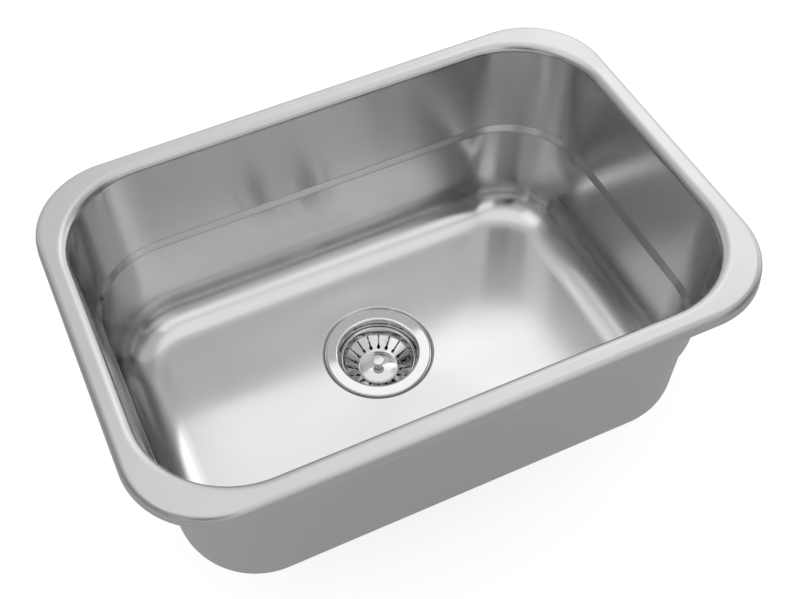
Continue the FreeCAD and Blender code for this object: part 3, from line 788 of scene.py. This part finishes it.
class SINK_OT_basket(bpy.types.Operator):
    """Build the lift-out basket, its dome and its knob"""
    bl_idname = "sink.basket"
    bl_label = "Basket"

    def execute(self, context):
        slots = context.scene.sink_sizes.slots
        rows, rim = basket_rows(), rolled_rim()
        vertices, faces = [], []
        for slot in range(slots):
            for side in (1, -1):
                middle = FIRST_SLOT + math.tau * slot / slots
                add_half_sector(rows, rim, middle, side, math.pi / slots, vertices, faces)
        basket = mesh_object("strainer_basket_cup", vertices, faces)
        merge = basket.modifiers.new("merge", "WELD")
        merge.merge_threshold = MERGE_WITHIN * MM
        bake_modifiers(basket)
        dress(basket, "basket", "strainer_basket", "polished_stainless")

        dome = turned("basket_dome", [
            (DOME_R, basket_floor_z, 0),
            (DOME_R, basket_floor_z + DOME_EDGE, 0.3),
            (DOME_TOP_R, base_top_z, DOME_BEND),
            (POST_R, base_top_z, 0),
            (POST_R, basket_floor_z, 0)])
        dress(dome, "knob_base", "strainer_basket", "polished_stainless")

        head_z = base_top_z + KNOB_HEIGHT
        knob = turned("lift_knob", [
            (0, base_top_z, 0),
            (KNOB_FOOT_R, base_top_z, 0.5),
            (KNOB_NECK_R, head_z - KNOB_HEAD, 2.5),
            (KNOB_R, head_z - KNOB_EDGE, 0.6),
            (KNOB_R, head_z, 0.9),
            (0, head_z, 0)], steps=96)
        dress(knob, "basket_knob", "strainer_basket", "polished_stainless")
        return {"FINISHED"}


# ---------------------------------------------------------------- the waste fittings

class SINK_OT_fittings(bpy.types.Operator):
    """Build the tailpiece's smooth tube, and give the other fittings their finishes"""
    bl_idname = "sink.fittings"
    bl_label = "Waste fittings"

    def execute(self, context):
        slots = {part["node"]: part["material_slot"] for part in frame["record"]["subparts"]}
        tube = pressed("tail_tube", [
            (TUBE_FLANGE_R, tube_top_z, 0),
            (TUBE_BORE_R, tube_top_z, TUBE_BEND),
            (TUBE_BORE_R, tube_end_z, 0)], TUBE_WALL)
        dress(tube, "tailpiece", "sink", slots["tailpiece"])
        for node, piece in frame["nodes"].items():
            piece.data.materials.clear()
            piece.data.materials.append(finish_for(slots[node]))
        return {"FINISHED"}


# ---------------------------------------------------------------- the stage

# Each panel of the light tent that the steel mirrors: where its middle stands as seen from the sink (azimuth
# from +X, elevation), how far it reaches to each side, how wide its soft edge is, all in degrees, and how
# much light it adds. White is 1, and the flags, which are black cloth, take light away.
TENT_PANELS = (
    ("floor cloth", 0, -90, 180, 85, 20, 0.40),
    ("side cloth", 0, 28, 180, 32, 12, 0.66),
    ("overhead box", 0, 90, 180, 30, 12, 1.14),
    ("right window", 35, -5, 35, 28, 20, 0.70),
    ("right floor cloth", 40, -45, 40, 20, 25, 0.41),
    ("back panel", 100, 12, 30, 18, 20, 0.19),
    ("back upper panel", 60, 38, 24, 12, 16, 0.50),
    ("back high panel", 62, 55.5, 27, 5.5, 8, 0.60),
    ("right upper panel", 45, 44, 15, 9, 12, 0.90),
    ("left flag", 190, 28, 50, 12, 14, -0.34),
    ("left upper panel", 165, 55, 30, 10, 14, 0.60),
    ("left low flag", 170, -5, 35, 18, 20, -0.42),
    ("front left flag", 243, 36, 17, 13, 12, -0.46),
    ("front upper panel", 288, 45, 26, 9, 10, 0.60),
    ("front panel", 250, -5, 40, 16, 20, 0.11),
    ("right front flag", 325, 10, 22, 20, 20, -0.52),
)

# The camera, from the photo's perspective.
CAMERA_AZIMUTH, CAMERA_ELEVATION, CAMERA_ROLL = (math.radians(turn) for turn in (-20.01, 54.08, -4.52))
CAMERA_DISTANCE, CAMERA_TARGET = 0.96817, Vector((-0.08206, -0.07593, 0))    # in metres
IMAGE_WIDTH, IMAGE_HEIGHT = 800, 599                                         # in pixels
FOCAL_PX, MIDDLE_PX = 1121.83, Vector((339.53, 326.34))

FLOOR_R = 6000.0
FLOOR_MATT = 0.35                    # how much of the floor's white is lit, and so can hold a shadow
FLOOR_MIRRORED = 0.12                # what the floor's own light adds where the steel mirrors it
WORLD_LEVEL = 0.8                    # what the world gives to matt surfaces
LAMP_PLACE, LAMP_SIZE = Vector((-0.6, -0.7, 1.7)), 1.6                       # in metres
LAMP_POWER = 12.0                    # watts


def circle(radius, z, count=96):
    """A ring of points about the Z axis."""
    return [(radius * math.cos(math.tau * step / count), radius * math.sin(math.tau * step / count), z)
            for step in range(count)]


def tent_light(tree):
    """How bright the light tent is in each direction."""
    place = add_node(tree, "ShaderNodeTexCoord")
    way = add_node(tree, "ShaderNodeVectorMath", {0: place.outputs["Generated"]}, operation="NORMALIZE")
    axes = add_node(tree, "ShaderNodeSeparateXYZ", {"Vector": way.outputs["Vector"]})
    azimuth = add_node(tree, "ShaderNodeMath", {0: axes.outputs["Y"], 1: axes.outputs["X"]},
                       operation="ARCTAN2")
    elevation = add_node(tree, "ShaderNodeMath", {0: axes.outputs["Z"]}, operation="ARCSINE")
    total = 0.0
    for name, *turns, strength in TENT_PANELS:
        middle_az, middle_el, reach_az, reach_el, soft = (math.radians(turn) for turn in turns)
        off_az = add_node(tree, "ShaderNodeMath", {0: azimuth.outputs["Value"], 1: middle_az},
                          operation="SUBTRACT", label=name)
        around = add_node(tree, "ShaderNodeMath", {0: off_az.outputs["Value"], 1: math.pi, 2: -math.pi},
                          operation="WRAP")
        off_el = add_node(tree, "ShaderNodeMath", {0: elevation.outputs["Value"], 1: middle_el},
                          operation="SUBTRACT")
        lit = strength
        for offset, reach in ((around, reach_az), (off_el, reach_el)):
            if reach >= math.pi:
                continue
            away = add_node(tree, "ShaderNodeMath", {0: offset.outputs["Value"]}, operation="ABSOLUTE")
            edge = add_node(tree, "ShaderNodeMapRange", {
                "Value": away.outputs["Value"], "From Min": reach + soft / 2, "From Max": reach - soft / 2},
                interpolation_type="SMOOTHSTEP")
            lit = add_node(tree, "ShaderNodeMath", {0: edge.outputs["Result"], 1: lit},
                           operation="MULTIPLY").outputs["Value"]
        total = add_node(tree, "ShaderNodeMath", {0: total, 1: lit}, operation="ADD").outputs["Value"]
    return add_node(tree, "ShaderNodeMath", {0: total, 1: 0.0}, operation="MAXIMUM").outputs["Value"]


def level_for_rays(tree, matt, mirrored):
    """A strength of 1 where a surface is seen directly or through glass, and other levels for other rays."""
    path = add_node(tree, "ShaderNodeLightPath")
    seen = add_node(tree, "ShaderNodeMath", {0: path.outputs["Is Camera Ray"],
                                             1: path.outputs["Is Transmission Ray"]}, operation="MAXIMUM")
    direct = add_node(tree, "ShaderNodeMix", {"Factor": seen.outputs["Value"], "A": matt, "B": 1.0})
    glossy = add_node(tree, "ShaderNodeMix", {"Factor": path.outputs["Is Glossy Ray"],
                                              "A": direct.outputs["Result"], "B": mirrored})
    return glossy.outputs["Result"]


def pale_floor():
    """Matt white paper. Part of its white is its own light, so it reads as white and still holds a shadow. It
    is clear from below, so that views from there show the underside."""
    material, tree, output = new_material("white paper")
    paper = add_node(tree, "ShaderNodeBsdfDiffuse", {"Color": (FLOOR_MATT, FLOOR_MATT, FLOOR_MATT, 1)})
    own = level_for_rays(tree, 0.0, FLOOR_MIRRORED)
    brightest = 1.0 - FLOOR_MATT * WORLD_LEVEL + 0.02
    part = add_node(tree, "ShaderNodeMath", {0: own, 1: brightest}, operation="MINIMUM")
    glow = add_node(tree, "ShaderNodeEmission", {"Color": (1, 1, 1, 1), "Strength": part.outputs["Value"]})
    both = add_node(tree, "ShaderNodeAddShader", {0: paper.outputs["BSDF"], 1: glow.outputs["Emission"]})
    side = add_node(tree, "ShaderNodeNewGeometry")
    clear = add_node(tree, "ShaderNodeBsdfTransparent")
    sheet = add_node(tree, "ShaderNodeMixShader", {
        0: side.outputs["Backfacing"], 1: both.outputs["Shader"], 2: clear.outputs["BSDF"]})
    tree.links.new(sheet.outputs["Shader"], output.inputs["Surface"])
    material.cycles.emission_sampling = "NONE"
    return material


def light_the_world(scene):
    """White where it is seen, the light tent where steel mirrors it, and an even level for matt surfaces."""
    world = bpy.data.worlds.new("studio")
    scene.world = world
    world.use_nodes = True
    tree = world.node_tree
    tree.nodes.clear()
    level = level_for_rays(tree, WORLD_LEVEL, tent_light(tree))
    sky = add_node(tree, "ShaderNodeBackground", {"Color": (1, 1, 1, 1), "Strength": level})
    output = add_node(tree, "ShaderNodeOutputWorld")
    tree.links.new(sky.outputs["Background"], output.inputs["Surface"])
    # A sampled world would light steel at the level for matt surfaces.
    world.cycles.sampling_method = "NONE"


def soft_lamp(scene):
    """A large soft box above the sink's front left, for the matt pieces and the floor's shadow."""
    box = bpy.data.lights.new("soft_box", "AREA")
    box.shape = "DISK"
    box.size = LAMP_SIZE
    box.energy = LAMP_POWER
    lamp = bpy.data.objects.new("soft_box", box)
    lamp.location = LAMP_PLACE
    lamp.rotation_euler = LAMP_PLACE.to_track_quat("Z", "Y").to_euler()
    lamp.visible_glossy = False
    lamp.visible_camera = False
    scene.collection.objects.link(lamp)


def set_camera(scene):
    """The photo's camera. The lens shift puts its axis where the photo has it."""
    back = Vector((math.sin(CAMERA_AZIMUTH) * math.cos(CAMERA_ELEVATION),
                   -math.cos(CAMERA_AZIMUTH) * math.cos(CAMERA_ELEVATION), math.sin(CAMERA_ELEVATION)))
    level = (-back).cross(Vector((0, 0, 1))).normalized()
    upright = level.cross(-back)
    across = level * math.cos(CAMERA_ROLL) + upright * math.sin(CAMERA_ROLL)
    upward = -level * math.sin(CAMERA_ROLL) + upright * math.cos(CAMERA_ROLL)
    lens = bpy.data.cameras.new("camera")
    lens.sensor_width = 36.0
    lens.sensor_fit = "HORIZONTAL"
    lens.lens = FOCAL_PX / IMAGE_WIDTH * lens.sensor_width
    lens.shift_x = (IMAGE_WIDTH / 2 - MIDDLE_PX.x) / IMAGE_WIDTH
    lens.shift_y = (MIDDLE_PX.y - IMAGE_HEIGHT / 2) / IMAGE_WIDTH
    camera = bpy.data.objects.new("camera", lens)
    camera.matrix_world = (Matrix.Translation(CAMERA_TARGET + back * CAMERA_DISTANCE)
                           @ Matrix((across, upward, back)).transposed().to_4x4())
    scene.collection.objects.link(camera)
    scene.camera = camera


class SINK_OT_stage(bpy.types.Operator):
    """Set the camera, the floor, the lamps and the light tent"""
    bl_idname = "sink.stage"
    bl_label = "Stage"

    def execute(self, context):
        set_camera(context.scene)

        floor_z = CAD_BOX[0][2] / MM
        floor = from_rings("floor", [[(0, 0, floor_z)], circle(FLOOR_R, floor_z)])
        floor.data.materials.append(pale_floor())

        light_the_world(context.scene)
        soft_lamp(context.scene)
        context.scene.view_settings.view_transform = "Standard"
        return {"FINISHED"}


class SINK_PT_panel(bpy.types.Panel):
    """Lists the operators in the order in which they build the sink"""
    bl_idname = "SINK_PT_panel"
    bl_label = "Pressed steel sink"
    bl_space_type = "VIEW_3D"
    bl_region_type = "UI"
    bl_category = "Sink"

    def draw(self, context):
        for operator in OPERATORS:
            self.layout.operator(operator.bl_idname)
        for group in (context.scene.sink_sizes, context.scene.sink_finish):
            for name in group.__annotations__:
                self.layout.prop(group, name)


OPERATORS = (SINK_OT_finishes, SINK_OT_bowl, SINK_OT_strainer, SINK_OT_basket, SINK_OT_fittings,
             SINK_OT_stage)
CLASSES = (SinkSizes, SinkFinish, *OPERATORS, SINK_PT_panel)


def register():
    for cls in CLASSES:
        bpy.utils.register_class(cls)
    bpy.types.Scene.sink_sizes = PointerProperty(type=SinkSizes)
    bpy.types.Scene.sink_finish = PointerProperty(type=SinkFinish)


def unregister():
    del bpy.types.Scene.sink_finish
    del bpy.types.Scene.sink_sizes
    for cls in reversed(CLASSES):
        bpy.utils.unregister_class(cls)


def main():
    register()
    for build in (bpy.ops.sink.finishes, bpy.ops.sink.bowl, bpy.ops.sink.strainer, bpy.ops.sink.basket,
                  bpy.ops.sink.fittings, bpy.ops.sink.stage):
        build()


if __name__ == "__main__":
    main()
